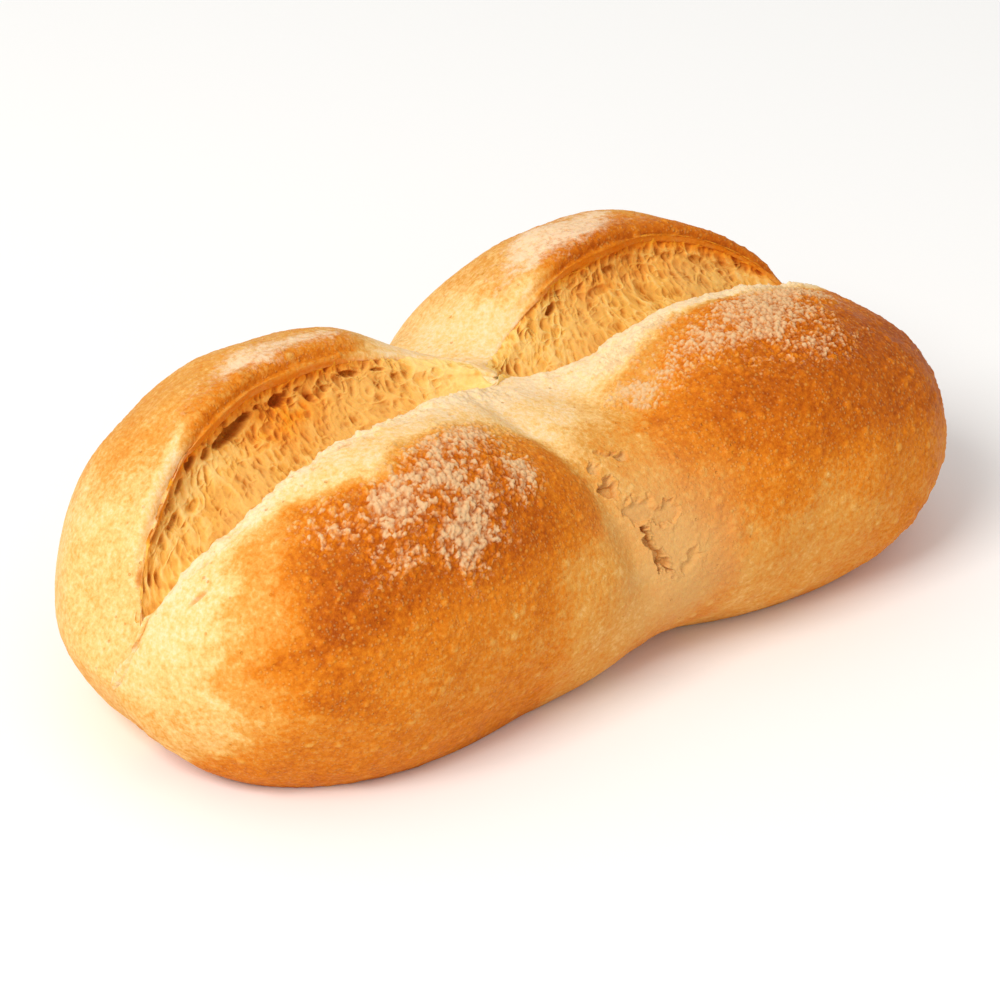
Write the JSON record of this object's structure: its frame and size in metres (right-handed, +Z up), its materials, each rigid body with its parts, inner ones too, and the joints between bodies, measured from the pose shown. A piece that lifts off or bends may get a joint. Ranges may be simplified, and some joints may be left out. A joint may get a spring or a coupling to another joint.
{
  "type": "crusty bread roll",
  "caption": "Crusty white bread roll with a pinched waist and one long torn split along its top that shows pale crumb; it stands on a flat base.",
  "frame": {"origin": "centre of the box's bottom face, on the surface that the roll stands on", "axes": "+X along the roll, towards the round that lies farther from the camera; +Y across it, away from the camera; +Z up"},
  "size_m": [0.172, 0.099, 0.0551],
  "materials": {
    "crust": "baked crust, golden to brown, satin",
    "crumb": "soft open crumb, matt",
    "flour": "dry flour dust, matt"
  },
  "bodies": {
    "root": {"bread_roll": "crust"}
  },
  "joints": []
}
